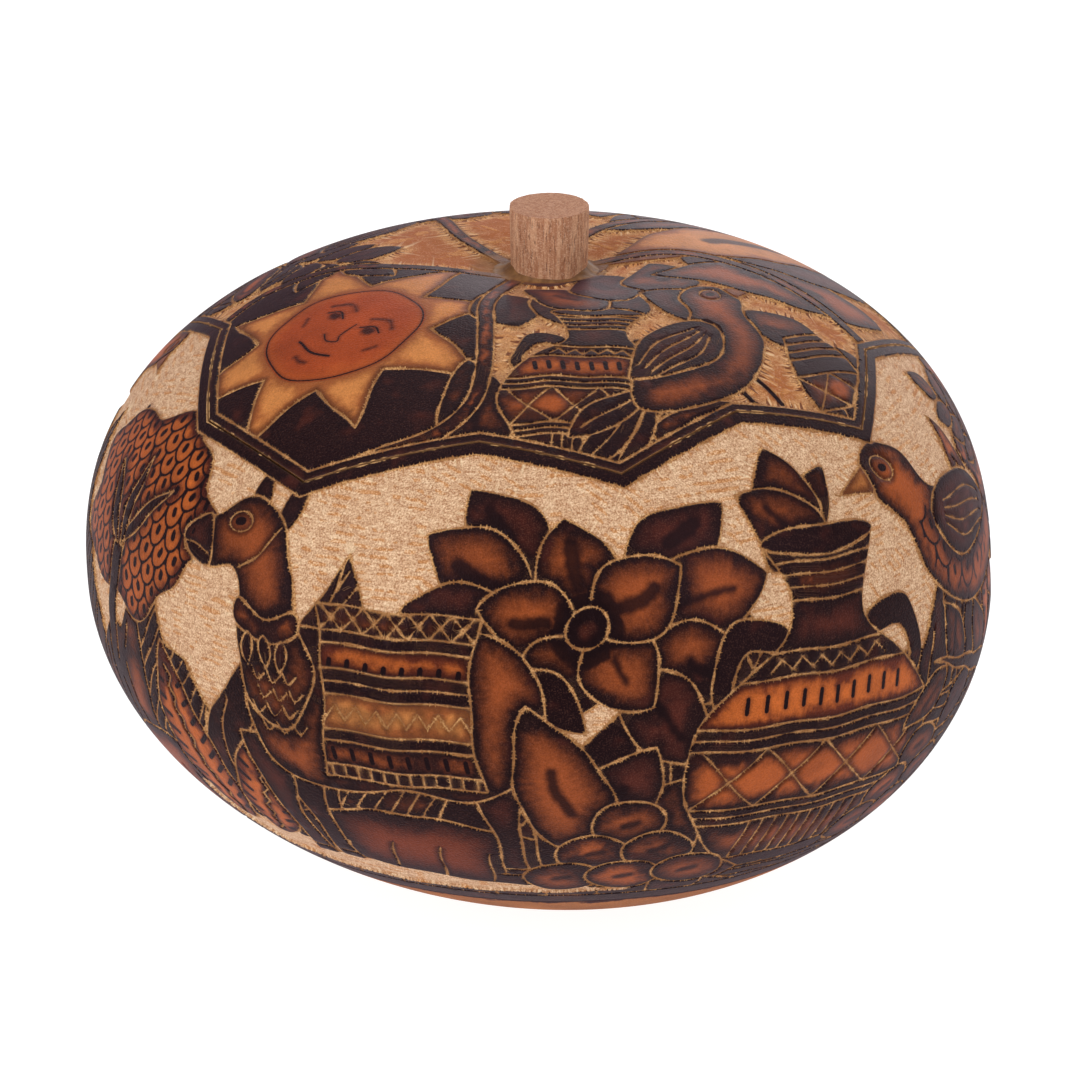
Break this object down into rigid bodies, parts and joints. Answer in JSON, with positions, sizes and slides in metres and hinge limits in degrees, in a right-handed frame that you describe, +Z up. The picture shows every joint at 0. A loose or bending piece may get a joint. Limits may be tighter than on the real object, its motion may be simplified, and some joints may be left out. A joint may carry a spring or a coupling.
{
  "type": "lidded gourd box",
  "caption": "Squat round box made of one dried gourd, carved and scorched all over, with a star-cut lid that lifts off by a short dowel knob.",
  "frame": {"origin": "centre of the footprint, on the surface that the box stands on", "axes": "+Z up along the knob and the lid's lift; -Y is the side seen in the picture, +X to its right"},
  "size_m": [0.1486, 0.1486, 0.1122],
  "materials": {
    "gourd_shell": "satin",
    "bare_wood": "matte",
    "dried_glue": "satin"
  },
  "bodies": {
    "base": {"gourd_base": "gourd_shell"},
    "lid": {"gourd_lid": "gourd_shell", "knob_dowel": "bare_wood", "glue_bead": "dried_glue"}
  },
  "joints": [
    {"name": "lid_lift", "type": "slide", "parent": "base", "child": "lid", "axis": [0, 0, 1], "range_m": [0, 0.06]}
  ]
}
